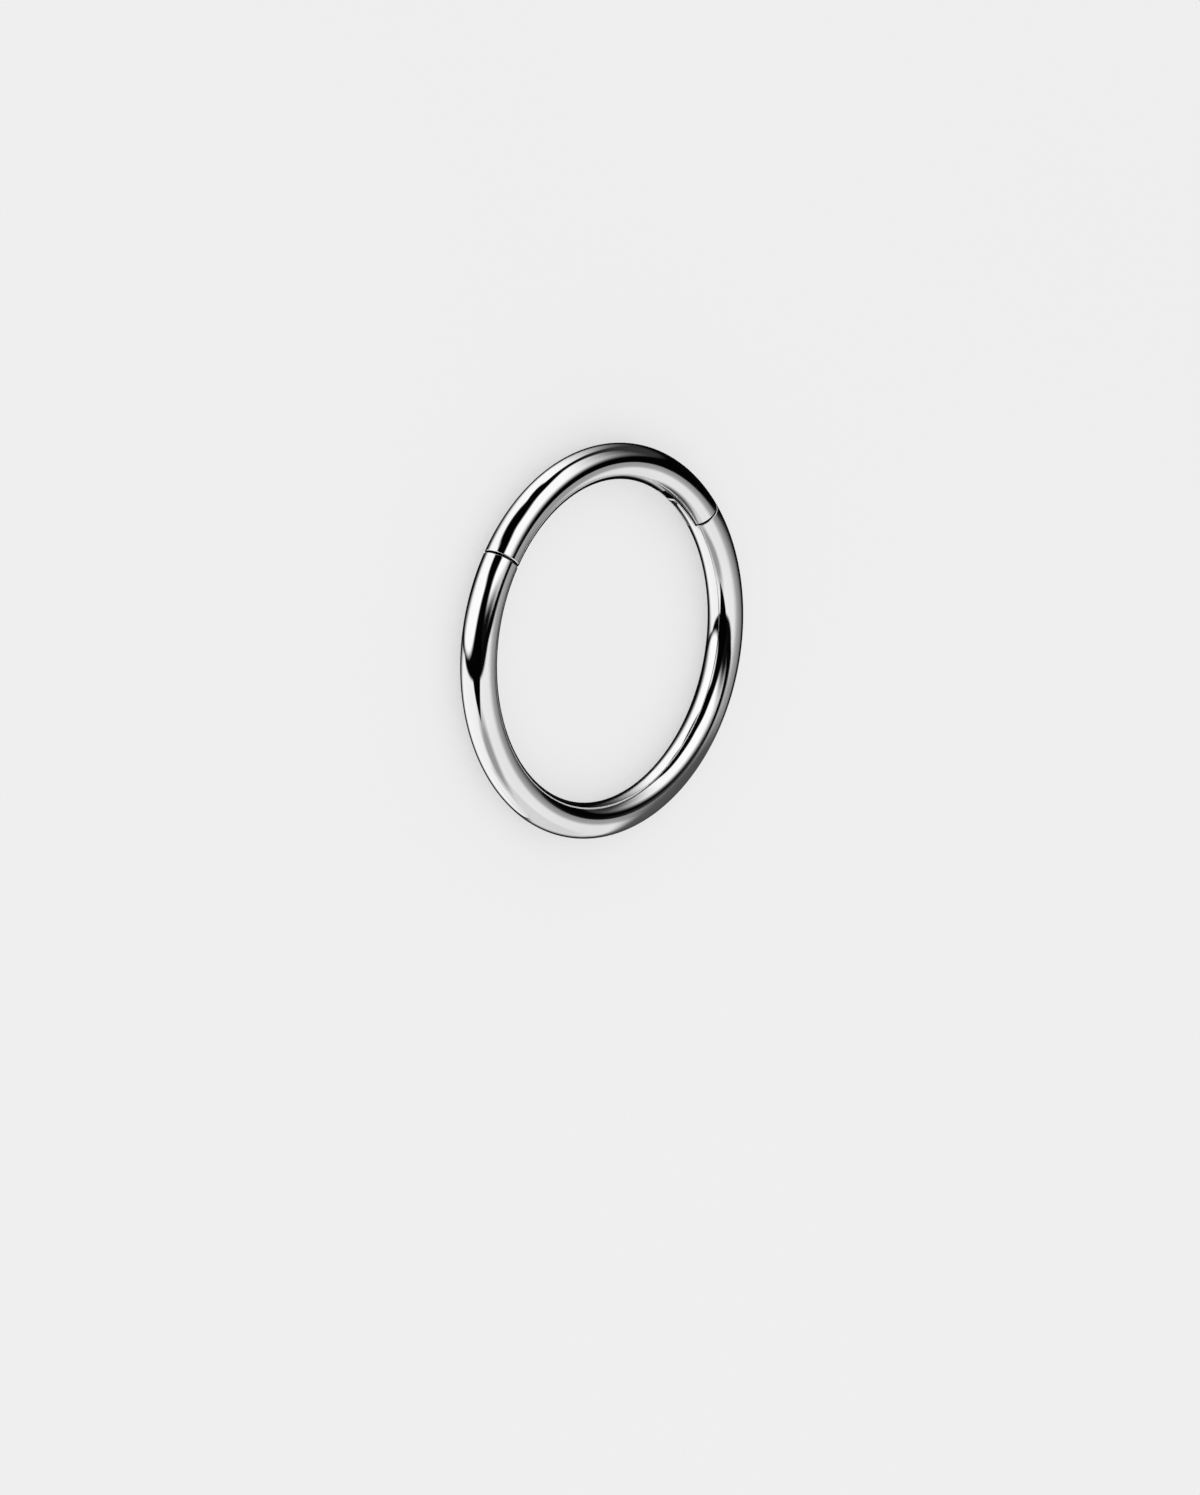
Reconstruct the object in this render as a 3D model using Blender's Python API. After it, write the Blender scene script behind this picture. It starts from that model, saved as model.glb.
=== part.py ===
"""Hinged nose ring of polished round wire, lying flat on its back.

The ring is a torus cut by two radial seams. The larger arc is the ring body. The smaller arc is the
hinged segment: a slot at its right end straddles a flat tongue of the body, a pin through both is the
hinge, and a small tab at its left end clicks into a pocket in the body's end.
+Z is the ring's axis, +Y points to the middle of its top as it is worn, and the origin is on the
surface under the ring's centre.
"""

import math

import bmesh
import bpy
from mathutils import Matrix, Vector

MM = 0.001

# Wire and ring
WIRE_DIAMETER = 1.0 * MM
INNER_DIAMETER = 9.0 * MM

# Seams, as angles counter-clockwise from +X, and the gap between the two arcs there
HINGE_SEAM_ANGLE = math.radians(37.7)
CLICK_SEAM_ANGLE = math.radians(145.1)
SEAM_GAP = 0.06 * MM

# Hinge: the pin stands this far behind its seam and this far outside the wire's centreline
PIN_DIAMETER = 0.28 * MM
PIN_SETBACK = 0.60 * MM
PIN_OFFSET = 0.20 * MM
PIN_COVER = 0.04 * MM
PIN_SEAT_GAP = 0.01 * MM
PIN_RUNNING_GAP = 0.03 * MM

# Tongue of the body, and the slot of the segment around it
TONGUE_THICKNESS = 0.26 * MM
TONGUE_PAST_PIN = 0.735 * MM
TONGUE_SIDE_GAP = 0.05 * MM
SLOT_END_GAP = 0.61 * MM

# Tab of the segment, and the pocket of the body around it
TAB_LENGTH = 0.30 * MM
TAB_HEIGHT = 0.30 * MM
TAB_THICKNESS = 0.26 * MM
TAB_GAP = 0.04 * MM

# Facets: a minor count of 4k + 2 gives the wire a flat band underneath, on which the ring rests
MAJOR_SEGMENTS = 120
MINOR_SEGMENTS = 30
PIN_SEGMENTS = 16
ARC_STEPS = 12
ARC_TURN = math.radians(75)

# Helper solids reach this far past what they cut
CUT_MARGIN = 0.50 * MM

# Sizes that follow
WIRE_RADIUS = WIRE_DIAMETER / 2
RING_RADIUS = INNER_DIAMETER / 2 + WIRE_RADIUS
WIRE_HEIGHT = WIRE_RADIUS * math.cos(math.pi / MINOR_SEGMENTS)
PIN_RADIUS = PIN_DIAMETER / 2
CUT_HEIGHT = WIRE_DIAMETER + 2 * CUT_MARGIN
NEAR_RADIUS = INNER_DIAMETER / 4
FAR_RADIUS = 2 * (RING_RADIUS + WIRE_RADIUS)

STEEL = (0.78, 0.78, 0.79, 1.0)
PIN_STEEL = (0.70, 0.70, 0.71, 1.0)


def direction(angle):
    """Unit vector in the ring's plane, away from its centre."""
    return Vector((math.cos(angle), math.sin(angle)))


def tangent(angle):
    """Unit vector along the ring, counter-clockwise."""
    return Vector((-math.sin(angle), math.cos(angle)))


def along_ring(length):
    """Angle that a length along the wire's centreline takes up."""
    return length / RING_RADIUS


def pin_centre():
    """Place of the hinge axis: PIN_SETBACK from the seam's plane, PIN_OFFSET outside the centreline."""
    radius = RING_RADIUS + PIN_OFFSET
    return radius * direction(HINGE_SEAM_ANGLE + math.asin(PIN_SETBACK / radius))


def clear_scene():
    for obj in list(bpy.data.objects):
        bpy.data.objects.remove(obj, do_unlink=True)


def new_collection(name):
    collection = bpy.data.collections.new(name)
    bpy.context.scene.collection.children.link(collection)
    return collection


def move_to(obj, collection):
    for owner in list(obj.users_collection):
        owner.objects.unlink(obj)
    collection.objects.link(obj)


def as_helper(obj):
    """Keeps a solid that only cuts or trims the parts out of the render."""
    obj.hide_render = True
    obj.display_type = "WIRE"
    return obj


def polished_metal(name, colour, roughness):
    material = bpy.data.materials.new(name)
    material.use_nodes = True
    shader = material.node_tree.nodes["Principled BSDF"]
    shader.inputs["Base Color"].default_value = colour
    shader.inputs["Metallic"].default_value = 1.0
    shader.inputs["Roughness"].default_value = roughness
    return material


def ring_blank(name, collection):
    """The whole ring as one torus, lying on its flat band."""
    bpy.ops.mesh.primitive_torus_add(
        major_segments=MAJOR_SEGMENTS,
        minor_segments=MINOR_SEGMENTS,
        major_radius=RING_RADIUS,
        minor_radius=WIRE_RADIUS,
        location=(0, 0, WIRE_HEIGHT),
    )
    blank = bpy.context.object
    blank.name = name
    blank.data.shade_smooth()
    move_to(blank, collection)
    return blank


def prism(name, outline, thickness, collection):
    """Solid of a flat outline, centred on the height of the wire's centreline."""
    curve = bpy.data.curves.new(name, "CURVE")
    curve.dimensions = "2D"
    curve.fill_mode = "BOTH"
    curve.extrude = thickness / 2 / MM
    spline = curve.splines.new("POLY")
    spline.points.add(len(outline) - 1)
    for point, place in zip(spline.points, outline):
        point.co = (place.x / MM, place.y / MM, 0, 1)
    spline.use_cyclic_u = True
    drawn = bpy.data.objects.new(name + "_outline", curve)
    collection.objects.link(drawn)
    graph = bpy.context.evaluated_depsgraph_get()
    mesh = bpy.data.meshes.new_from_object(drawn.evaluated_get(graph))
    bpy.data.objects.remove(drawn, do_unlink=True)
    weld = bmesh.new()
    weld.from_mesh(mesh)
    bmesh.ops.remove_doubles(weld, verts=weld.verts, dist=0.0001)
    bmesh.ops.recalc_face_normals(weld, faces=weld.faces)
    bmesh.ops.scale(weld, vec=(MM, MM, MM), verts=weld.verts)
    weld.to_mesh(mesh)
    weld.free()
    solid = bpy.data.objects.new(name, mesh)
    solid.location = (0, 0, WIRE_HEIGHT)
    collection.objects.link(solid)
    return as_helper(solid)


def rod(name, radius, low, high, collection):
    """Upright cylinder on the hinge axis, between two heights."""
    centre = pin_centre()
    bpy.ops.mesh.primitive_cylinder_add(
        vertices=PIN_SEGMENTS,
        radius=radius,
        depth=high - low,
        location=(centre.x, centre.y, (low + high) / 2),
    )
    solid = bpy.context.object
    solid.name = name
    solid.data.shade_smooth()
    solid.data.set_sharp_from_angle(angle=math.radians(40))
    move_to(solid, collection)
    return solid


def add_boolean(obj, operation, other):
    modifier = obj.modifiers.new(f"{operation.title()} {other.name}", "BOOLEAN")
    modifier.operation = operation
    modifier.object = other
    modifier.solver = "EXACT"


def segment_outline(growth):
    """Outline of the hinged segment, with each of its ends moved outwards by growth.

    Outside the pin the hinge end is an arc round the pin, so that the segment's outer corner turns
    past the body's shoulder as it opens.
    """
    out = direction(HINGE_SEAM_ANGLE)
    to_body = -tangent(HINGE_SEAM_ANGLE)
    pin = pin_centre()
    arc_radius = PIN_SETBACK + growth
    points = [NEAR_RADIUS * out + growth * to_body]
    for step in range(ARC_STEPS + 1):
        turn = ARC_TURN * step / ARC_STEPS
        points.append(pin + arc_radius * (math.cos(turn) * to_body + math.sin(turn) * out))
    points.append(points[-1] + FAR_RADIUS * out)
    points.append(FAR_RADIUS * direction((HINGE_SEAM_ANGLE + CLICK_SEAM_ANGLE) / 2))
    click_face = growth * tangent(CLICK_SEAM_ANGLE)
    points.append(FAR_RADIUS * direction(CLICK_SEAM_ANGLE) + click_face)
    points.append(NEAR_RADIUS * direction(CLICK_SEAM_ANGLE) + click_face)
    return points


def hinge_band_outline(length):
    """Outline of the stretch of ring from well before the hinge seam to a length past it."""
    start = direction(HINGE_SEAM_ANGLE - along_ring(length))
    end = direction(HINGE_SEAM_ANGLE + along_ring(length))
    return [NEAR_RADIUS * start, FAR_RADIUS * start, FAR_RADIUS * end, NEAR_RADIUS * end]


def click_outline(start, end, low, high):
    """Rectangle at the click seam: from start to end along the ring, and from low to high outwards."""
    out = direction(CLICK_SEAM_ANGLE)
    to_body = tangent(CLICK_SEAM_ANGLE)
    middle = RING_RADIUS * out
    corners = ((start, low), (end, low), (end, high), (start, high))
    return [middle + along * to_body + across * out for along, across in corners]


def tab_sweep():
    """How far the tab moves outwards while the opening segment draws it out of its pocket."""
    arm = RING_RADIUS * direction(CLICK_SEAM_ANGLE) - pin_centre()
    travel = Vector((arm.y, -arm.x))
    outwards = travel.dot(direction(CLICK_SEAM_ANGLE))
    away = -travel.dot(tangent(CLICK_SEAM_ANGLE))
    return TAB_LENGTH * outwards / away


def tab_range():
    """The tab's lower and upper side, measured outwards from the wire's centreline.

    Its pocket is centred in the wire, and the tab lies at the pocket's inner side.
    """
    low = -(TAB_HEIGHT + tab_sweep()) / 2
    return low, low + TAB_HEIGHT


def pin_top():
    """Height of the pin's blind end, which stays under the front of the ring."""
    wall = math.sqrt(WIRE_RADIUS**2 - (PIN_OFFSET + PIN_RADIUS) ** 2)
    return WIRE_HEIGHT + wall - PIN_COVER


def make_ring_body(parts, helpers):
    body = ring_blank("ring_body", parts)
    removed = prism("body_gap", segment_outline(SEAM_GAP / 2), CUT_HEIGHT, helpers)
    tongue = prism(
        "tongue_slab",
        hinge_band_outline(PIN_SETBACK + TONGUE_PAST_PIN),
        TONGUE_THICKNESS,
        helpers,
    )
    add_boolean(removed, "DIFFERENCE", tongue)
    low, high = tab_range()
    pocket_end = TAB_LENGTH - SEAM_GAP / 2 + TAB_GAP
    pocket = prism(
        "tab_pocket",
        click_outline(-CUT_MARGIN, pocket_end, low - TAB_GAP, high + tab_sweep() + TAB_GAP),
        TAB_THICKNESS + 2 * TAB_GAP,
        helpers,
    )
    hole = rod(
        "tongue_hole",
        PIN_RADIUS + PIN_RUNNING_GAP,
        WIRE_HEIGHT - TONGUE_THICKNESS,
        WIRE_HEIGHT + TONGUE_THICKNESS,
        helpers,
    )
    as_helper(hole)
    add_boolean(body, "DIFFERENCE", removed)
    add_boolean(body, "DIFFERENCE", pocket)
    add_boolean(body, "DIFFERENCE", hole)
    return body


def make_hinged_segment(parts, helpers):
    segment = ring_blank("hinged_segment", parts)
    kept = prism("segment_reach", segment_outline(-SEAM_GAP / 2), CUT_HEIGHT, helpers)
    slot = prism(
        "tongue_slot",
        hinge_band_outline(PIN_SETBACK + TONGUE_PAST_PIN + SLOT_END_GAP),
        TONGUE_THICKNESS + 2 * TONGUE_SIDE_GAP,
        helpers,
    )
    low, high = tab_range()
    tab = prism(
        "click_tab",
        click_outline(-CUT_MARGIN, TAB_LENGTH - SEAM_GAP / 2, low, high),
        TAB_THICKNESS,
        helpers,
    )
    hole = rod(
        "ear_hole",
        PIN_RADIUS + PIN_SEAT_GAP,
        -CUT_MARGIN,
        pin_top() + PIN_SEAT_GAP,
        helpers,
    )
    as_helper(hole)
    add_boolean(kept, "DIFFERENCE", slot)
    add_boolean(kept, "UNION", tab)
    add_boolean(segment, "INTERSECT", kept)
    add_boolean(segment, "DIFFERENCE", hole)
    return segment, [kept, slot, tab, hole]


def make_hinge_pin(parts, helpers):
    """The pin stops short of the ring's front and is trimmed flush with the wire at the back."""
    pin = rod("hinge_pin", PIN_RADIUS, -CUT_MARGIN, pin_top(), parts)
    trim = as_helper(ring_blank("pin_trim", helpers))
    add_boolean(pin, "INTERSECT", trim)
    return pin, [trim]


def make_hinge_axis(parts, carried):
    """Empty on the hinge axis. Turning it clockwise opens the ring."""
    axis = bpy.data.objects.new("hinge_axis", None)
    centre = pin_centre()
    axis.location = (centre.x, centre.y, WIRE_HEIGHT)
    axis.empty_display_size = WIRE_DIAMETER
    parts.objects.link(axis)
    for obj in carried:
        obj.parent = axis
        obj.matrix_parent_inverse = Matrix.Translation(-axis.location)
    return axis


def main():
    clear_scene()
    parts = new_collection("nose_ring")
    helpers = new_collection("nose_ring_cutters")
    helpers.hide_render = True
    body = make_ring_body(parts, helpers)
    segment, segment_helpers = make_hinged_segment(parts, helpers)
    pin, pin_helpers = make_hinge_pin(parts, helpers)
    make_hinge_axis(parts, [segment, pin] + segment_helpers + pin_helpers)
    body.data.materials.append(polished_metal("polished_steel_body", STEEL, 0.06))
    segment.data.materials.append(polished_metal("polished_steel_segment", STEEL, 0.06))
    pin.data.materials.append(polished_metal("pin_steel", PIN_STEEL, 0.18))


main()
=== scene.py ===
"""Polished hinged nose ring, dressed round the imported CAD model.

The three CAD nodes are replaced by finely lofted copies of the same forms, with exact normals, small
rounded edges and procedural steel. Lengths in this file are in millimetres until a mesh is made.
"""

import math

import bpy
import numpy as np
from mathutils import Matrix, Vector


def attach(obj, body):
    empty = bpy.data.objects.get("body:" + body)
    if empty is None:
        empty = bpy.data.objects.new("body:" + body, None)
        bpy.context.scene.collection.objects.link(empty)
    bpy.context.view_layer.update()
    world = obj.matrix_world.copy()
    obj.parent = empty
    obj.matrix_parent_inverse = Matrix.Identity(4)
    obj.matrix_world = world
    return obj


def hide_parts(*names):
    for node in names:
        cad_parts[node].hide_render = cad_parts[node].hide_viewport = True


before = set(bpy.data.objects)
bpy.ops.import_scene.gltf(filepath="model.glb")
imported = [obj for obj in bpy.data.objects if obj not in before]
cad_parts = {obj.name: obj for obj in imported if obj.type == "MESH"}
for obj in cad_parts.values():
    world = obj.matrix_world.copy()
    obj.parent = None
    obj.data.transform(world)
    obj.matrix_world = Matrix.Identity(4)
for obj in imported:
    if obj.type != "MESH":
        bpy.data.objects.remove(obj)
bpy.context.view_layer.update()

MM = 0.001

# Sizes of the CAD model
WIRE_RADIUS = 0.5
RING_RADIUS = 5.0
WIRE_HEIGHT = WIRE_RADIUS * math.cos(math.pi / 30)
HINGE_SEAM = math.radians(37.7)
CLICK_SEAM = math.radians(145.1)
SEAM_GAP = 0.06
PIN_RADIUS = 0.14
PIN_SETBACK = 0.60
PIN_OFFSET = 0.20
PIN_COVER = 0.04
PIN_SEAT_GAP = 0.01
PIN_RUNNING_GAP = 0.03
TONGUE_HALF = 0.13
TONGUE_PAST_PIN = 0.735
TONGUE_SIDE_GAP = 0.05
SLOT_END_GAP = 0.61
TAB_TIP = 0.27
TAB_OUTER = 0.0217
TAB_HALF = 0.13
TAB_GAP = 0.04
TAB_INNER = -0.2783
POCKET_REACH = 0.3183
SLOT_HALF = TONGUE_HALF + TONGUE_SIDE_GAP
TONGUE_TIP = HINGE_SEAM + (PIN_SETBACK + TONGUE_PAST_PIN) / RING_RADIUS
SLOT_END = TONGUE_TIP + SLOT_END_GAP / RING_RADIUS

# Broken edges
RIM_ROUNDING = 0.03
SLOT_ROUNDING = 0.014
TIP_ROUNDING = 0.035
TAB_ROUNDING = 0.02
ROUNDING_STEPS = 5

# Fineness of the lofts
COLUMN_TURN = math.radians(0.75)
CIRCLE_POINTS = 48
CORNER_STEPS = 4

# Steps of the wire's section beside the tongue or the slot, and over the rest of its skin
BODY_FINE = 3
BODY_COARSE = 44
SEGMENT_FINE = 6
SEGMENT_COARSE = 38

# Least share of a normal along the ring's axis on a flat face, and on the underside where the pin ends
FLAT_FACING = 0.999
UNDERSIDE_FACING = 0.4

# Least width of the faces between a bore's edge and the loft round it
BORE_MARGIN = 0.02

SKIN = 0
CUT = 1


def out_of(angle):
    return np.array([math.cos(angle), math.sin(angle)])


def along(angle):
    return np.array([-math.sin(angle), math.cos(angle)])


def pin_place():
    radius = RING_RADIUS + PIN_OFFSET
    return radius * out_of(HINGE_SEAM + math.asin(PIN_SETBACK / radius))


class Shells:
    """Vertices, faces, corner normals and material indices of one piece."""

    def __init__(self):
        self.points = []
        self.faces = []
        self.normals = []
        self.kinds = []

    def add(self, points, faces, normals, kinds):
        """Adds faces given as lists of point indices, with one normal per corner."""
        first = len(self.points)
        points = np.asarray(points, dtype=float)
        for face, corners, kind in zip(faces, normals, kinds):
            flat = points[list(face)]
            turned = np.zeros(3)
            for here, there in zip(flat, np.roll(flat, -1, axis=0)):
                turned += np.cross(here, there)
            if turned.dot(np.sum(corners, axis=0)) < 0:
                face = face[::-1]
                corners = corners[::-1]
            self.faces.append([first + index for index in face])
            self.normals.extend(corners)
            self.kinds.append(kind)
        self.points.extend(points)

    def make(self, name, materials):
        mesh = bpy.data.meshes.new(name)
        mesh.from_pydata((np.array(self.points) * MM).tolist(), [], self.faces)
        mesh.polygons.foreach_set("material_index", self.kinds)
        mesh.shade_smooth()
        mesh.normals_split_custom_set([tuple(normal) for normal in self.normals])
        for material in materials:
            mesh.materials.append(material)
        obj = bpy.data.objects.new(name, mesh)
        bpy.context.scene.collection.objects.link(obj)
        return obj


def arc_points(centre, radius, start, stop, steps):
    """Points of an arc in the wire's section, with their normals. The first one is left out."""
    turns = np.linspace(start, stop, steps + 1)[1:]
    normals = np.stack([np.cos(turns), np.sin(turns)], axis=1)
    return np.asarray(centre) + radius * normals, normals


def mirrored(points, normals, flip):
    """Closes an upper chain, from the outermost to the innermost point, with its mirror image."""
    points = np.concatenate([points, points[-2:0:-1] * flip])
    normals = np.concatenate([normals, normals[-2:0:-1] * flip])
    return points, normals


def round_profile(split, fine, coarse):
    """Section of the whole wire, with a sample exactly at the angle split."""
    turns = np.concatenate([
        np.linspace(0, split, fine + 1),
        np.linspace(split, math.pi - split, coarse + 1)[1:],
        np.linspace(math.pi - split, math.pi, fine + 1)[1:],
    ])
    normals = np.stack([np.cos(turns), np.sin(turns)], axis=1)
    points, normals = mirrored(WIRE_RADIUS * normals, normals, np.array([1, -1]))
    return points, normals, np.zeros(len(points), dtype=bool)


def ear_corner():
    """Angle at which an ear's rounded edge starts, and the centre of that rounding."""
    inner = WIRE_RADIUS - SLOT_ROUNDING
    level = SLOT_HALF + SLOT_ROUNDING
    angle = math.asin(level / inner)
    return angle, np.array([inner * math.cos(angle), level])


def ear_profile(side, coarse):
    """Section of one ear beside the slot, above it for side 1 and below it for side -1."""
    split, corner = ear_corner()
    far = corner * np.array([-1, 1])
    parting = math.radians(20)
    upper = [arc_points(corner, SLOT_ROUNDING, -parting, split, 2)]
    upper.append(arc_points((0, 0), WIRE_RADIUS, split, math.pi - split, coarse))
    upper.append(arc_points(far, SLOT_ROUNDING, math.pi - split, math.pi + parting, 2))
    count = sum(len(chain[0]) for chain in upper)
    lower = [arc_points(far, SLOT_ROUNDING, math.pi + parting, 1.5 * math.pi, CORNER_STEPS)]
    flat = count - 2 * CORNER_STEPS - 2
    xs = np.linspace(far[0], corner[0], flat + 2)[1:]
    level = np.stack([xs, np.full(len(xs), SLOT_HALF)], axis=1)
    lower.append((level, np.tile([0.0, -1.0], (len(xs), 1))))
    lower.append(arc_points(corner, SLOT_ROUNDING, -0.5 * math.pi, -parting, CORNER_STEPS))
    points = np.concatenate([chain[0] for chain in upper + lower])
    normals = np.concatenate([chain[1] for chain in upper + lower])
    points = np.roll(points, 1, axis=0)
    normals = np.roll(normals, 1, axis=0)
    cut = normals[:, 1] < -FLAT_FACING
    flip = np.array([1, side])
    if side < 0:
        points = np.roll(points[::-1], 1, axis=0)
        normals = np.roll(normals[::-1], 1, axis=0)
        cut = np.roll(cut[::-1], 1)
    return points * flip, normals * flip, cut


def tongue_corner():
    inner = WIRE_RADIUS - SLOT_ROUNDING
    level = TONGUE_HALF - SLOT_ROUNDING
    angle = math.asin(level / inner)
    return angle, np.array([inner * math.cos(angle), level])


def tongue_profile(fine):
    """Section of the tongue: the middle layer of the wire, with rounded edges."""
    split, corner = tongue_corner()
    far = corner * np.array([-1, 1])
    quarter = 0.5 * math.pi
    start = np.array([[WIRE_RADIUS, 0.0]])
    chains = [(start, np.array([[1.0, 0.0]]))]
    chains.append(arc_points((0, 0), WIRE_RADIUS, 0, split, fine))
    chains.append(arc_points(corner, SLOT_ROUNDING, split, quarter, CORNER_STEPS))
    xs = np.linspace(corner[0], far[0], 13)[1:]
    level = np.stack([xs, np.full(len(xs), TONGUE_HALF)], axis=1)
    chains.append((level, np.tile([0.0, 1.0], (len(xs), 1))))
    chains.append(arc_points(far, SLOT_ROUNDING, quarter, math.pi - split, CORNER_STEPS))
    chains.append(arc_points((0, 0), WIRE_RADIUS, math.pi - split, math.pi, fine))
    points = np.concatenate([chain[0] for chain in chains])
    normals = np.concatenate([chain[1] for chain in chains])
    points, normals = mirrored(points, normals, np.array([1, -1]))
    return points, normals, np.abs(normals[:, 1]) > FLAT_FACING


class RadialEnd:
    """End on the flat face at a set distance from a radial plane, or on that plane itself."""

    def __init__(self, angle, offset, facing):
        self.angle = angle
        self.offset = offset
        self.facing = facing

    def place(self, radius):
        return self.angle + np.arcsin(self.offset / radius)

    def normal(self, radius):
        flat = self.facing * along(self.angle)
        return np.tile([flat[0], flat[1], 0.0], (len(radius), 1))


class HingeEnd:
    """End at the hinge seam: flat inside the pin's level, and an arc round the pin outside it."""

    def __init__(self, growth, facing, lap=0.0):
        self.lap = lap
        self.growth = growth
        self.facing = facing
        self.level = math.sqrt((RING_RADIUS + PIN_OFFSET) ** 2 - PIN_SETBACK**2)

    def drawn(self, radius):
        arm = PIN_SETBACK + self.growth
        depth = np.full(len(radius), self.growth)
        for _ in range(6):
            height = np.sqrt(radius**2 - depth**2)
            above = np.maximum(height - self.level, 0)
            depth = np.sqrt(arm**2 - above**2) - PIN_SETBACK
        return height, depth, above

    def place(self, radius):
        height, depth, _ = self.drawn(radius)
        return self.lap + HINGE_SEAM - np.arctan2(depth, height)

    def normal(self, radius):
        _, depth, above = self.drawn(radius)
        arm = PIN_SETBACK + self.growth
        outwards = np.outer(above / arm, out_of(HINGE_SEAM))
        to_body = np.outer((depth + PIN_SETBACK) / arm, -along(HINGE_SEAM))
        flat = self.facing * (outwards + to_body)
        return np.concatenate([flat, np.zeros((len(flat), 1))], axis=1)


def on_ring(offsets, turns):
    radius = RING_RADIUS + offsets[:, 0]
    return np.stack([
        radius * np.cos(turns),
        radius * np.sin(turns),
        WIRE_HEIGHT + offsets[:, 1],
    ], axis=1)


def skin_normals(normals, turns):
    return np.stack([
        normals[:, 0] * np.cos(turns),
        normals[:, 0] * np.sin(turns),
        normals[:, 1],
    ], axis=1)


def rim_rows(points, normals, end, rounding, worn, sense):
    """Rows of the rounding at one end, from the skin to the end face. sense is +1 at the far end."""
    rows = []
    for turn in np.linspace(0, 0.5 * math.pi, ROUNDING_STEPS + 1):
        sunk = rounding * (1 - math.cos(turn)) * worn
        short = rounding * (1 - math.sin(turn))
        offsets = points - sunk[:, None] * normals
        radius = RING_RADIUS + offsets[:, 0]
        turns = end.place(radius) - sense * short / radius
        facing = math.sin(turn) * worn[:, None]
        mixed = np.sqrt(1 - facing**2) * skin_normals(normals, turns) + facing * end.normal(radius)
        rows.append((on_ring(offsets, turns), mixed / np.linalg.norm(mixed, axis=1)[:, None]))
    return rows


def grid_faces(rows, size, closed=True):
    """Quads between rows of points, in the order of the rows."""
    faces = []
    for row in range(rows - 1):
        for index in range(size if closed else size - 1):
            here = row * size
            following = (index + 1) % size
            faces.append([here + index, here + size + index, here + size + following, here + following])
    return faces


def add_rows(shells, rows, kind, closed=True):
    """Adds a strip of faces through rows of points with their normals."""
    places = np.concatenate([row[0] for row in rows])
    facing = np.concatenate([row[1] for row in rows])
    faces = grid_faces(len(rows), len(rows[0][0]), closed)
    shells.add(places, faces, [[facing[corner] for corner in face] for face in faces], [kind] * len(faces))


def skin_height(plan, side):
    """Height of the wire's upper (1) or lower (-1) skin over points of the plan, with its normals."""
    radius = np.hypot(plan[:, 0], plan[:, 1])
    depth = np.sqrt(WIRE_RADIUS**2 - (radius - RING_RADIUS) ** 2)
    lean = (radius - RING_RADIUS) / WIRE_RADIUS / radius
    normals = np.column_stack([plan[:, 0] * lean, plan[:, 1] * lean, side * depth / WIRE_RADIUS])
    return WIRE_HEIGHT + side * depth, normals


def level_height(level, side):
    """The same for a flat face at a level above or below the wire's middle, facing up or down."""
    def height(plan):
        normals = np.tile([0.0, 0.0, float(side)], (len(plan), 1))
        return np.full(len(plan), WIRE_HEIGHT + level), normals
    return height


def circle(centre, radius):
    turns = np.linspace(0, 2 * math.pi, CIRCLE_POINTS, endpoint=False)
    return centre + radius * np.stack([np.cos(turns), np.sin(turns)], axis=1)


class Bore:
    """Round hole in one side of a lofted section, on the profile's points where wanted is true."""

    def __init__(self, radius, wanted, height, kind):
        self.centre = pin_place()
        self.radius = radius
        self.wanted = wanted
        self.height = height
        self.kind = kind

    def window(self, places):
        """Rows and indices of the grid between which the faces give way to the hole."""
        gap = np.hypot(places[:, :, 0] - self.centre[0], places[:, :, 1] - self.centre[1])
        near = (gap < self.radius + BORE_MARGIN) & self.wanted[None, :]
        rows = np.flatnonzero(near.any(axis=1))
        spots = np.flatnonzero(near.any(axis=0))
        return rows[0] - 1, rows[-1] + 1, spots[0] - 1, spots[-1] + 1

    def surround(self, shells, places):
        """Faces from the window's edge to the hole's edge."""
        top, bottom, left, right = self.window(places)
        loop = [(top, spot) for spot in range(left, right)]
        loop += [(row, right) for row in range(top, bottom)]
        loop += [(bottom, spot) for spot in range(right, left, -1)]
        loop += [(row, left) for row in range(bottom, top, -1)]
        outer = np.array([places[spot][:2] for spot in loop])
        gap = outer - self.centre
        inner = self.centre + self.radius * gap / np.linalg.norm(gap, axis=1)[:, None]
        rows = []
        for share in np.linspace(0, 1, 4):
            plan = outer + share * (inner - outer)
            heights, normals = self.height(plan)
            rows.append((np.column_stack([plan, heights]), normals))
        add_rows(shells, rows, self.kind)


def tube(shells, radius, low, high, sense, kind):
    """Round wall about the pin's axis between two surfaces, facing outwards (1) or inwards (-1)."""
    plan = circle(pin_place(), radius)
    sides = sense * (plan - pin_place()) / radius
    normals = np.column_stack([sides, np.zeros(len(plan))])
    rows = [(np.column_stack([plan, surface(plan)[0]]), normals) for surface in (low, high)]
    add_rows(shells, rows, kind)


def disc(shells, radius, surface, kind):
    """Round patch of a surface about the pin's axis."""
    rows = []
    for share in np.linspace(0.02, 1, 6):
        plan = circle(pin_place(), share * radius)
        heights, normals = surface(plan)
        rows.append((np.column_stack([plan, heights]), normals))
    add_rows(shells, rows, kind)
    middle = rows[0]
    count = len(middle[0])
    shells.add(middle[0], [list(range(count))], [list(middle[1])], [kind])


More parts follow.
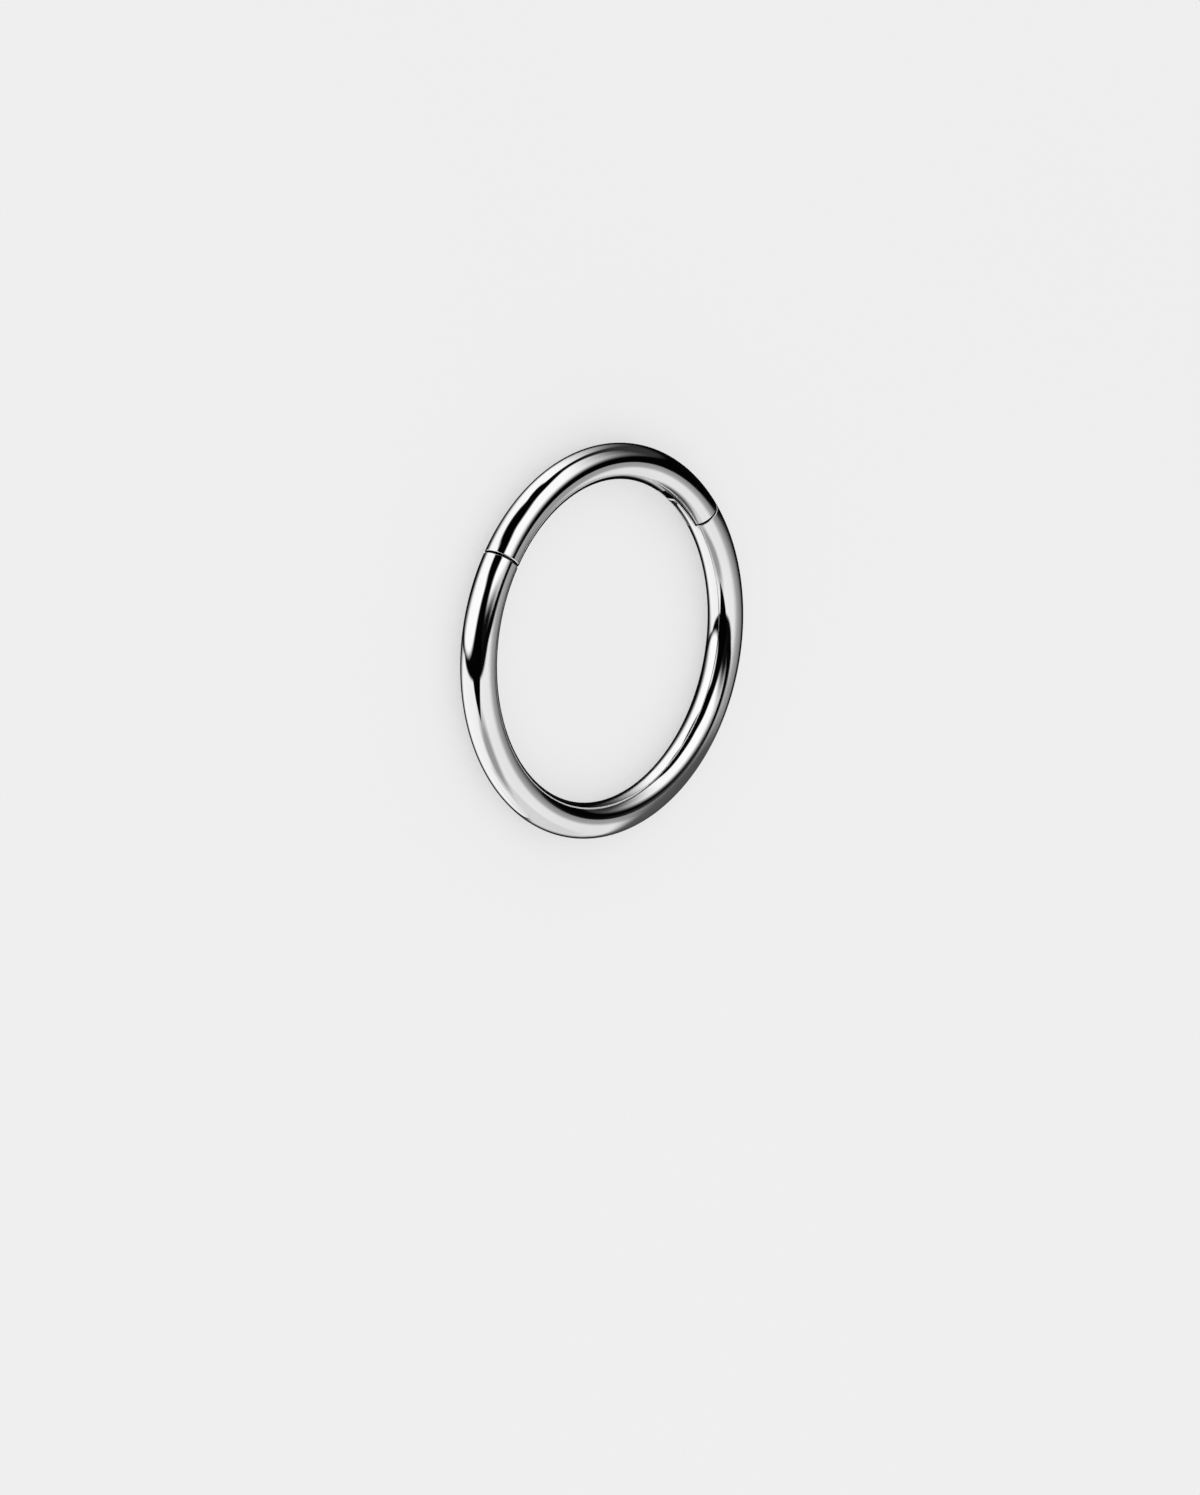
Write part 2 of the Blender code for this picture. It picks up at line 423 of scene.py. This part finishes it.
def loft(
    shells, profile, first, last, first_rim=0.0, last_rim=0.0, first_worn=None, last_worn=None, bores=()
):
    """Carries a section along the ring and returns its outline at both ends."""
    points, normals, cut = profile
    size = len(points)
    everywhere = np.ones(size)
    first_worn = everywhere if first_worn is None else first_worn
    last_worn = everywhere if last_worn is None else last_worn
    radius = RING_RADIUS + points[:, 0]
    start = first.place(radius) + first_rim / radius
    stop = last.place(radius) - last_rim / radius
    columns = max(2, math.ceil(float(np.max(stop - start)) / COLUMN_TURN))
    rows = []
    if first_rim:
        rows += rim_rows(points, normals, first, first_rim, first_worn, -1)[:0:-1]
    for share in np.linspace(0, 1, columns + 1):
        turns = start + share * (stop - start)
        rows.append((on_ring(points, turns), skin_normals(normals, turns)))
    if last_rim:
        rows += rim_rows(points, normals, last, last_rim, last_worn, 1)[1:]
    places = np.stack([row[0] for row in rows])
    facing = np.stack([row[1] for row in rows]).reshape(-1, 3)
    windows = [bore.window(places) for bore in bores]
    faces = []
    kinds = []
    for number, face in enumerate(grid_faces(len(rows), size)):
        row, index = divmod(number, size)
        if any(top <= row < bottom and left <= index < right for top, bottom, left, right in windows):
            continue
        faces.append(face)
        kinds.append(CUT if cut[index] and cut[(index + 1) % size] else SKIN)
    shells.add(places.reshape(-1, 3), faces, [[facing[corner] for corner in face] for face in faces], kinds)
    for bore in bores:
        bore.surround(shells, places)
    first_outline = points - (first_rim * first_worn)[:, None] * normals
    last_outline = points - (last_rim * last_worn)[:, None] * normals
    return first_outline, last_outline


def closing_face(shells, outline, end):
    """Closes an end with strips between the upper and the lower chain of its outline."""
    size = len(outline)
    radius = RING_RADIUS + outline[:, 0]
    rim = on_ring(outline, end.place(radius))
    facing = end.normal(radius)
    faces = []
    for index in range(size // 2):
        face = []
        for corner in (index, index + 1, size - index - 1, (size - index) % size):
            if corner not in face:
                face.append(corner)
        faces.append(face)
    shells.add(rim, faces, [[facing[corner] for corner in face] for face in faces], [CUT] * len(faces))


def upright_strips(shells, end, across, low, high):
    """Strips of an end's face between two heights at each place across the section."""
    radius = RING_RADIUS + across
    turns = end.place(radius)
    normals = end.normal(radius)
    rows = [(on_ring(np.column_stack([across, heights]), turns), normals) for heights in (low, high)]
    add_rows(shells, rows, CUT, closed=False)


def upper_chain(outline, extra=()):
    """Places across an outline in rising order, with the outline's height there."""
    half = outline[:len(outline) // 2 + 1][::-1]
    across = np.union1d(half[:, 0], extra)
    return across, np.interp(across, half[:, 0], half[:, 1])


def face_round_window(shells, outline, end, left, right, half):
    """Closes an end but for a window, as wide as given and reaching half up and down."""
    across, high = upper_chain(outline, (left, right))
    for chosen in (across <= left, across >= right):
        upright_strips(shells, end, across[chosen], -high[chosen], high[chosen])
    middle = (across >= left) & (across <= right)
    edge = np.full(int(middle.sum()), half)
    for side in (1, -1):
        upright_strips(shells, end, across[middle], side * edge, side * high[middle])


def face_beyond(shells, outline, end, level):
    """Closes an end above a level and below its mirror image."""
    across, high = upper_chain(outline)
    chosen = high > level
    edge = np.full(int(chosen.sum()), level)
    for side in (1, -1):
        upright_strips(shells, end, across[chosen], side * edge, side * high[chosen])


def face_within(shells, outline, end, level):
    """Closes an end between a level and its mirror image."""
    across, high = upper_chain(outline)
    high = np.minimum(high, level)
    upright_strips(shells, end, across, -high, high)


def at_click(across, forwards, heights):
    """Points by their offsets outwards, towards the body and upwards from the click seam's middle."""
    plan = np.outer(RING_RADIUS + across, out_of(CLICK_SEAM)) + np.outer(forwards, along(CLICK_SEAM))
    return np.column_stack([plan, WIRE_HEIGHT + heights])


def at_click_normals(normals):
    plan = np.outer(normals[:, 0], out_of(CLICK_SEAM)) + np.outer(normals[:, 1], along(CLICK_SEAM))
    return np.column_stack([plan, normals[:, 2]])


def rounded_box(left, right, half, rounding):
    """Outline of a box section with rounded corners, and its normals."""
    points = []
    normals = []
    centres = ((right, half), (left, half), (left, -half), (right, -half))
    for number, (across, height) in enumerate(centres):
        inset = np.array([across - math.copysign(rounding, across - (left + right) / 2),
                          height - math.copysign(rounding, height)])
        for turn in np.linspace(number, number + 1, 6) * 0.5 * math.pi:
            normal = np.array([math.cos(turn), math.sin(turn)])
            points.append(inset + rounding * normal)
            normals.append(normal)
    return np.array(points), np.array(normals)


def add_tab(shells):
    """Flat tab that clicks into the body's pocket."""
    outline, facing = rounded_box(TAB_INNER, TAB_OUTER, TAB_HALF, 1.5 * TAB_ROUNDING)
    count = len(outline)
    rows = []
    reaches = [(-SEAM_GAP / 2, 0.0)]
    reaches += [(TAB_TIP - TAB_ROUNDING, turn) for turn in np.linspace(0, 0.5 * math.pi, 6)]
    for reach, turn in reaches:
        shrunk = outline - TAB_ROUNDING * (1 - math.cos(turn)) * facing
        forwards = np.full(count, reach + TAB_ROUNDING * math.sin(turn))
        normals = np.column_stack([
            math.cos(turn) * facing[:, 0],
            np.full(count, math.sin(turn)),
            math.cos(turn) * facing[:, 1],
        ])
        rows.append((at_click(shrunk[:, 0], forwards, shrunk[:, 1]), at_click_normals(normals)))
    add_rows(shells, rows, SKIN)
    shells.add(rows[-1][0], [list(range(count))], [list(rows[-1][1])], [SKIN])


def add_pocket(shells):
    """Walls and bottom of the pocket, which is wide enough for the tab's swing."""
    half = TAB_HALF + TAB_GAP
    mouth = SEAM_GAP / 2
    bottom = TAB_TIP + TAB_GAP
    corners = np.array([(1, 1), (-1, 1), (-1, -1), (1, -1)]) * np.array([POCKET_REACH, half])
    near = at_click(corners[:, 0], np.full(4, mouth), corners[:, 1])
    far = at_click(corners[:, 0], np.full(4, bottom), corners[:, 1])
    inwards = at_click_normals(np.array([(0, 0, -1), (1, 0, 0), (0, 0, 1), (-1, 0, 0)], dtype=float))
    for index in range(4):
        following = (index + 1) % 4
        wall = [near[index], near[following], far[following], far[index]]
        shells.add(wall, [[0, 1, 2, 3]], [[inwards[index]] * 4], [CUT])
    floor_normal = at_click_normals(np.array([(0.0, -1.0, 0.0)]))[0]
    shells.add(far, [[0, 1, 2, 3]], [[floor_normal] * 4], [CUT])


def make_body(materials):
    shells = Shells()
    profile = round_profile(tongue_corner()[0], BODY_FINE, BODY_COARSE)
    click = RadialEnd(CLICK_SEAM, SEAM_GAP / 2, -1)
    hinge = HingeEnd(SEAM_GAP / 2, -1, lap=2 * math.pi)
    worn = np.clip((np.abs(profile[0][:, 1]) - tongue_corner()[1][1]) / RIM_ROUNDING, 0, 1)
    rims = (RIM_ROUNDING, RIM_ROUNDING)
    click_outline, hinge_outline = loft(shells, profile, click, hinge, *rims, last_worn=worn)
    face_round_window(shells, click_outline, click, -POCKET_REACH, POCKET_REACH, TAB_HALF + TAB_GAP)
    add_pocket(shells)
    face_beyond(shells, hinge_outline, hinge, tongue_corner()[1][1])
    tip = RadialEnd(TONGUE_TIP, 0.0, 1)
    tongue = tongue_profile(BODY_FINE)
    radius = PIN_RADIUS + PIN_RUNNING_GAP
    top = level_height(TONGUE_HALF, 1)
    bottom = level_height(-TONGUE_HALF, -1)
    bores = [Bore(radius, tongue[1][:, 1] > FLAT_FACING, top, CUT)]
    bores.append(Bore(radius, tongue[1][:, 1] < -FLAT_FACING, bottom, CUT))
    _, tip_outline = loft(shells, tongue, HingeEnd(SEAM_GAP / 2, -1), tip, 0.0, TIP_ROUNDING, bores=bores)
    closing_face(shells, tip_outline, tip)
    tube(shells, radius, bottom, top, -1, CUT)
    return shells.make("ring_body_polished", materials)


def pin_top():
    wall = math.sqrt(WIRE_RADIUS**2 - (PIN_OFFSET + PIN_RADIUS) ** 2)
    return wall - PIN_COVER


def lower_skin(plan):
    return skin_height(plan, -1)


def make_segment(materials):
    shells = Shells()
    profile = round_profile(ear_corner()[0], SEGMENT_FINE, SEGMENT_COARSE)
    slot_end = RadialEnd(SLOT_END, 0.0, -1)
    click = RadialEnd(CLICK_SEAM, -SEAM_GAP / 2, 1)
    hinge = HingeEnd(-SEAM_GAP / 2, 1)
    level = SLOT_HALF + SLOT_ROUNDING
    worn = np.clip((level - np.abs(profile[0][:, 1])) / SLOT_ROUNDING, 0, 1)
    rims = (SLOT_ROUNDING, RIM_ROUNDING)
    slot_outline, click_outline = loft(shells, profile, slot_end, click, *rims, first_worn=worn)
    face_within(shells, slot_outline, slot_end, level)
    face_round_window(shells, click_outline, click, TAB_INNER, TAB_OUTER, TAB_HALF)
    add_tab(shells)
    radius = PIN_RADIUS + PIN_SEAT_GAP
    for side in (1, -1):
        ear = ear_profile(side, SEGMENT_COARSE)
        flat = level_height(side * SLOT_HALF, -side)
        bores = [Bore(radius, ear[1][:, 1] * side < -FLAT_FACING, flat, CUT)]
        if side < 0:
            bores.append(Bore(radius, ear[1][:, 1] < -UNDERSIDE_FACING, lower_skin, SKIN))
            tube(shells, radius, lower_skin, flat, -1, CUT)
        else:
            blind = level_height(pin_top() + PIN_SEAT_GAP, -1)
            tube(shells, radius, flat, blind, -1, CUT)
            disc(shells, radius, blind, CUT)
        outline, _ = loft(shells, ear, hinge, slot_end, SLOT_ROUNDING, 0.0, bores=bores)
        closing_face(shells, outline, hinge)
    return shells.make("hinged_segment_polished", materials)


def make_pin(materials):
    shells = Shells()
    chamfer = 0.02
    top = level_height(pin_top(), 1)
    shoulder = level_height(pin_top() - chamfer, 1)
    tube(shells, PIN_RADIUS, lower_skin, shoulder, 1, SKIN)
    wide = circle(pin_place(), PIN_RADIUS)
    narrow = circle(pin_place(), PIN_RADIUS - chamfer)
    sides = (wide - pin_place()) / PIN_RADIUS
    slant = np.column_stack([sides, np.ones(len(wide))]) * math.sqrt(0.5)
    rows = []
    for plan, surface in ((wide, shoulder), (narrow, top)):
        rows.append((np.column_stack([plan, surface(plan)[0]]), slant))
    add_rows(shells, rows, SKIN)
    disc(shells, PIN_RADIUS - chamfer, top, SKIN)
    disc(shells, PIN_RADIUS, lower_skin, SKIN)
    return shells.make("hinge_pin_polished", materials)


# Camera, at the photograph's angle to the ring
CAMERA_RIGHT = Vector((0.6797, 0.0, 0.7335))
CAMERA_UP = Vector((0.1456, 0.9801, -0.1349))
CAMERA_BACK = Vector((-0.71889, 0.19851, 0.66617))
CAMERA_DISTANCE = 0.2041
CAMERA_LENS = 178.43
FOCAL_PIXELS = 7410
RING_CENTRE_PIXELS = (4.19, 106.42)


def make_camera(target):
    data = bpy.data.cameras.new("camera")
    data.lens = CAMERA_LENS
    data.clip_start = 0.001
    data.clip_end = 10
    camera = bpy.data.objects.new("camera", data)
    axes = Matrix((CAMERA_RIGHT, CAMERA_UP, CAMERA_BACK)).transposed()
    seen = Vector((*RING_CENTRE_PIXELS, -FOCAL_PIXELS)).normalized()
    aim = Vector((0, 0, -1)).rotation_difference(seen).to_matrix().inverted()
    camera.matrix_world = Matrix.Translation(target + CAMERA_DISTANCE * CAMERA_BACK) @ (axes @ aim).to_4x4()
    bpy.context.scene.collection.objects.link(camera)
    bpy.context.scene.camera = camera


# Surroundings, as directions seen from the ring: azimuth from the camera's side, and elevation
UP = Vector((0, 1, 0))
FRONT = Vector((CAMERA_BACK.x, 0, CAMERA_BACK.z)).normalized()
SIDE = FRONT.cross(UP).normalized() * -1
METAL_SHARE = 0.8


def light_of(tone):
    """Light that makes the metal show a tone between 0 and 255."""
    share = tone / 255
    linear = share / 12.92 if share <= 0.04045 else ((share + 0.055) / 1.055) ** 2.4
    return linear / METAL_SHARE


def seen_from_ring(azimuth, elevation, distance):
    turn = math.radians(azimuth)
    rise = math.radians(elevation)
    level = math.sin(turn) * SIDE + math.cos(turn) * FRONT
    return distance * (math.cos(rise) * level + math.sin(rise) * UP)


def node(tree, kind, sockets=(), **settings):
    """Adds a node. Each socket is an input's name or number, with a value or an output to link."""
    made = tree.nodes.new("ShaderNode" + kind)
    for key, value in settings.items():
        setattr(made, key, value)
    for place, value in sockets:
        if isinstance(value, bpy.types.NodeSocket):
            tree.links.new(value, made.inputs[place])
        else:
            made.inputs[place].default_value = value
    return made


def times(tree, socket, factor):
    return node(tree, "Math", [(0, socket), (1, factor)], operation="MULTIPLY").outputs[0]


def ranged(tree, socket, first, last, low, high):
    sockets = [("Value", socket), ("From Min", first), ("From Max", last)]
    sockets += [("To Min", low), ("To Max", high)]
    return node(tree, "MapRange", sockets).outputs[0]


def drawn_noise(tree, fine, slow, detail):
    """Noise drawn out along the wire: fine grains per mm across it, slow grains per mm along it."""
    place = node(tree, "TexCoord")
    split = node(tree, "SeparateXYZ", [(0, place.outputs["Object"])])
    flat = node(tree, "CombineXYZ", [("X", split.outputs["X"]), ("Y", split.outputs["Y"])])
    radius = node(tree, "VectorMath", [(0, flat.outputs[0])], operation="LENGTH")
    across = times(tree, radius.outputs["Value"], fine / MM)
    high = times(tree, split.outputs["Z"], fine / MM)
    right = times(tree, split.outputs["X"], slow / MM)
    forwards = times(tree, split.outputs["Y"], slow / MM)
    spot = node(tree, "CombineXYZ", [("X", across), ("Y", high), ("Z", right)])
    sockets = [("Vector", spot.outputs[0]), ("W", forwards), ("Scale", 1.0), ("Detail", detail)]
    return node(tree, "TexNoise", sockets, noise_dimensions="4D").outputs[0]


def even_noise(tree, grains, detail):
    place = node(tree, "TexCoord")
    sockets = [("Vector", place.outputs["Object"]), ("Scale", grains / MM), ("Detail", detail)]
    return node(tree, "TexNoise", sockets, noise_dimensions="3D").outputs[0]


def new_shader(name):
    material = bpy.data.materials.new(name)
    material.use_nodes = True
    return material, material.node_tree, material.node_tree.nodes["Principled BSDF"]


def bumped(tree, shader, heights):
    """Adds bumps one on another, each from a noise and its height in mm."""
    normal = None
    for noise, height in heights:
        sockets = [("Height", noise), ("Distance", height * MM), ("Strength", 1.0)]
        if normal is not None:
            sockets.append(("Normal", normal))
        normal = node(tree, "Bump", sockets).outputs[0]
    tree.links.new(normal, shader.inputs["Normal"])


def tinted(tree, shader, noise, dark, light):
    ramp = node(tree, "ValToRGB", [("Fac", noise)])
    ramp.color_ramp.elements[0].position = 0.35
    ramp.color_ramp.elements[0].color = (*dark, 1)
    ramp.color_ramp.elements[1].position = 0.65
    ramp.color_ramp.elements[1].color = (*light, 1)
    tree.links.new(ramp.outputs["Color"], shader.inputs["Base Color"])


def polished_steel():
    """Buffed wire: waves and hairlines drawn along it, with cloudy spots that are a little duller."""
    material, tree, shader = new_shader("polished_steel")
    shader.inputs["Metallic"].default_value = 1.0
    clouds = even_noise(tree, 0.7, 3)
    waves = drawn_noise(tree, 2.2, 0.25, 2)
    hairlines = drawn_noise(tree, 30, 0.8, 2)
    tinted(tree, shader, clouds, (0.785, 0.785, 0.788), (0.815, 0.815, 0.815))
    smooth = ranged(tree, clouds, 0.35, 0.65, 0.015, 0.035)
    lined = ranged(tree, hairlines, 0.45, 0.75, 0.0, 0.015)
    rough = node(tree, "Math", [(0, smooth), (1, lined)], operation="ADD").outputs[0]
    tree.links.new(rough, shader.inputs["Roughness"])
    bumped(tree, shader, ((waves, 0.0006), (hairlines, 0.00003)))
    return material


def cut_steel_painted_shade():
    """Cut faces in the seams, the slot, the pocket and the bores, tinted nearly black as painted shade for
    these narrow gaps and recesses, with a random stain-like tone over it.
    """
    material, tree, shader = new_shader("cut_steel_painted_shade")
    shader.inputs["Metallic"].default_value = 1.0
    marks = even_noise(tree, 18, 3)
    stains_on_painted_shade = even_noise(tree, 4, 2)
    # The near-black base colour is painted shade in the gaps and recesses; the noise only varies it at
    # random.
    tinted(tree, shader, stains_on_painted_shade, (0.035, 0.035, 0.035), (0.08, 0.08, 0.082))
    rough = ranged(tree, marks, 0.3, 0.7, 0.28, 0.46)
    tree.links.new(rough, shader.inputs["Roughness"])
    bumped(tree, shader, ((marks, 0.0015),))
    return material


def pin_steel():
    """The pin, ground flush and a little duller than the wire."""
    material, tree, shader = new_shader("ground_pin_steel")
    shader.inputs["Metallic"].default_value = 1.0
    clouds = even_noise(tree, 6, 3)
    lines = drawn_noise(tree, 24, 2, 2)
    tinted(tree, shader, clouds, (0.66, 0.66, 0.665), (0.74, 0.74, 0.745))
    rough = ranged(tree, lines, 0.3, 0.7, 0.14, 0.26)
    tree.links.new(rough, shader.inputs["Roughness"])
    bumped(tree, shader, ((lines, 0.0002),))
    return material


def glossy_only(obj):
    obj.visible_camera = False
    obj.visible_diffuse = False
    obj.visible_transmission = False
    obj.visible_volume_scatter = False
    obj.visible_shadow = False


def card_material(name, tones, roundness, softness):
    """Glow that fades from tone to tone across the card and ends softly at its rounded edge."""
    material = bpy.data.materials.new(name)
    material.use_nodes = True
    tree = material.node_tree
    tree.nodes.clear()
    place = node(tree, "UVMap", uv_map="card")
    split = node(tree, "SeparateXYZ", [(0, place.outputs[0])])
    powers = []
    for axis in (0, 1):
        size = node(tree, "Math", [(0, split.outputs[axis])], operation="ABSOLUTE")
        power = node(tree, "Math", [(0, size.outputs[0]), (1, roundness)], operation="POWER")
        powers.append(power.outputs[0])
    total = node(tree, "Math", [(0, powers[0]), (1, powers[1])], operation="ADD")
    root = node(tree, "Math", [(0, total.outputs[0]), (1, 1 / roundness)], operation="POWER")
    sockets = [("Value", root.outputs[0]), ("From Min", 1 - softness), ("From Max", 1 + softness)]
    sockets += [("To Min", 1.0), ("To Max", 0.0)]
    edge = node(tree, "MapRange", sockets, interpolation_type="SMOOTHSTEP")
    fade = ranged(tree, split.outputs[0], -1.0, 1.0, light_of(tones[0]), light_of(tones[1]))
    glow = node(tree, "Emission", [("Color", (1, 1, 1, 1)), ("Strength", fade)])
    clear = node(tree, "BsdfTransparent")
    mix = node(tree, "MixShader", [(0, edge.outputs[0]), (1, clear.outputs[0]), (2, glow.outputs[0])])
    node(tree, "OutputMaterial", [("Surface", mix.outputs[0])])
    material.cycles.emission_sampling = "NONE"
    return material


def make_card(name, middle, half, tilt, roundness, softness, tones, distance, target):
    """Soft-edged card at a direction, with its half sizes and tilt in degrees."""
    reach = 1 + softness
    columns = math.ceil(2 * reach * half[0] / CARD_GRAIN)
    rows = math.ceil(2 * reach * half[1] / CARD_GRAIN)
    points = []
    flat = []
    lean = math.radians(tilt)
    for row in range(rows + 1):
        for column in range(columns + 1):
            x = reach * (2 * column / columns - 1)
            y = reach * (2 * row / rows - 1)
            right = x * half[0]
            high = y * half[1]
            azimuth = middle[0] + right * math.cos(lean) - high * math.sin(lean)
            elevation = middle[1] + right * math.sin(lean) + high * math.cos(lean)
            points.append(target + seen_from_ring(azimuth, elevation, distance * MM))
            flat.append((x, y))
    faces = []
    for row in range(rows):
        for column in range(columns):
            here = row * (columns + 1) + column
            faces.append((here, here + 1, here + columns + 2, here + columns + 1))
    mesh = bpy.data.meshes.new(name)
    mesh.from_pydata(points, [], faces)
    layer = mesh.uv_layers.new(name="card")
    for loop in mesh.loops:
        layer.data[loop.index].uv = flat[loop.vertex_index]
    mesh.materials.append(card_material(name, tones, roundness, softness))
    obj = bpy.data.objects.new(name, mesh)
    bpy.context.scene.collection.objects.link(obj)
    glossy_only(obj)


# Widest facet of a card, in degrees
CARD_GRAIN = 2.0

# name, (azimuth, elevation), (half width, half height), tilt, roundness, softness, tones, distance
CARDS = (
    ("table", (0, -48), (200, 43), 0, 12, 0.02, (250, 214), 66.0),
    ("table_below", (0, -80), (240, 20), 0, 6, 0.25, (208, 208), 65.8),
    ("front_shade", (-22, 0), (80, 16), 0, 1.6, 0.08, (3, 3), 65.6),
    ("patch_front", (-8, -52), (26, 22), 0, 2, 0.5, (150, 150), 65.4),
    ("back_wall", (-120, 41), (88, 41), -5, 4.5, 0.06, (246, 251), 64.8),
    ("softbox_right", (64, 38), (60, 32), 8, 3.5, 0.09, (254, 246), 64.65),
    ("shade_right", (100, 12), (42, 17), 0, 2, 0.55, (3, 3), 64.6),
    ("bench", (118, -7), (46, 17), 0, 3, 0.4, (168, 90), 64.55),
    ("haze_right", (20, 5), (26, 11), 0, 2, 0.7, (14, 14), 64.5),
    ("wall_line", (72, 1), (44, 4), 3, 3, 0.3, (4, 4), 64.4),
    ("flag_side", (138, 27), (42, 30), 0, 3, 0.6, (50, 50), 64.2),
    ("flag_right", (118, 12), (56, 11), 6, 2.5, 0.25, (3, 3), 64.0),
    ("flag_front", (-15, -6), (26, 29), -2, 1.2, 0.08, (3, 3), 63.8),
    ("behind", (180, -11), (54, 44), 0, 2, 0.25, (6, 6), 60.0),
    ("behind_left", (-133, 10), (24, 20), 0, 2, 0.8, (6, 6), 59.8),
    ("strip_low", (-14, 12), (11, 28), 0, 3, 0.1, (3, 3), 32.0),
    ("strip_middle", (-17, 45), (29, 17), 0, 2, 0.2, (3, 3), 31.8),
    ("strip_high", (-26, 65), (52, 16), 0, 2.2, 0.2, (3, 3), 31.6),
    ("strip_top", (0, 84), (120, 9), 0, 3, 0.15, (3, 3), 31.4),
    ("contact_shadow", (142, -60), (46, 28), 0, 3, 0.3, (90, 20), 6.2),
)


def make_surroundings(target):
    for card in CARDS:
        make_card(*card, target)


# Tone of the pale floor and backdrop, as linear light, and the share of it that shines through the floor
FLOOR_TONE = 0.863
FLOOR_GLOW = 0.55
FLOOR_ALBEDO = 0.36

# Half width and height of the floor in metres. The round wire's underside is a trace below the faceted one.
FLOOR_HALF = 1.5
FLOOR_HEIGHT = -0.0000027

# Tone of the surroundings between the cards
DARK_TONE = 4


def make_floor():
    data = bpy.data.meshes.new("floor")
    half = FLOOR_HALF
    low = FLOOR_HEIGHT
    corners = [(-half, -half, low), (half, -half, low), (half, half, low), (-half, half, low)]
    data.from_pydata(corners, [], [(0, 1, 2, 3)])
    floor = bpy.data.objects.new("floor", data)
    material, tree, shader = new_shader("floor")
    pale = even_noise(tree, 0.02, 2)
    tinted(tree, shader, pale, (FLOOR_ALBEDO - 0.003,) * 3, (FLOOR_ALBEDO + 0.003,) * 3)
    shader.inputs["Roughness"].default_value = 0.9
    shader.inputs["Specular IOR Level"].default_value = 0.0
    shader.inputs["Emission Color"].default_value = (1, 1, 1, 1)
    shader.inputs["Emission Strength"].default_value = FLOOR_GLOW * FLOOR_TONE
    data.materials.append(material)
    bpy.context.scene.collection.objects.link(floor)
    floor.visible_glossy = False


def make_world():
    """Even light on the floor, the same pale tone behind it, and dark for reflections."""
    world = bpy.data.worlds.new("studio")
    bpy.context.scene.world = world
    world.use_nodes = True
    tree = world.node_tree
    tree.nodes.clear()
    white = (1, 1, 1, 1)
    path = node(tree, "LightPath")
    lit = (1 - FLOOR_GLOW) * FLOOR_TONE / FLOOR_ALBEDO
    even = node(tree, "Background", [("Color", white), ("Strength", lit)])
    seen = node(tree, "Background", [("Color", white), ("Strength", FLOOR_TONE)])
    dark = node(tree, "Background", [("Color", white), ("Strength", light_of(DARK_TONE))])
    camera_ray = path.outputs["Is Camera Ray"]
    glossy_ray = path.outputs["Is Glossy Ray"]
    first = node(tree, "MixShader", [(0, camera_ray), (1, even.outputs[0]), (2, seen.outputs[0])])
    second = node(tree, "MixShader", [(0, glossy_ray), (1, first.outputs[0]), (2, dark.outputs[0])])
    node(tree, "OutputWorld", [("Surface", second.outputs[0])])


def main():
    scene = bpy.context.scene
    scene.view_settings.view_transform = "Standard"
    polished = polished_steel()
    shaded_cut_steel = cut_steel_painted_shade()
    body = make_body([polished, shaded_cut_steel])
    segment = make_segment([polished, shaded_cut_steel])
    pin = make_pin([pin_steel()])
    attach(body, "body")
    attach(segment, "segment")
    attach(pin, "segment")
    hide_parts("ring_body")
    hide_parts("hinged_segment")
    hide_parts("hinge_pin")
    target = Vector((0, 0, WIRE_HEIGHT * MM))
    make_floor()
    make_world()
    make_surroundings(target)
    make_camera(target)


main()


def corners(box):
    return [list(corner) for corner in box]
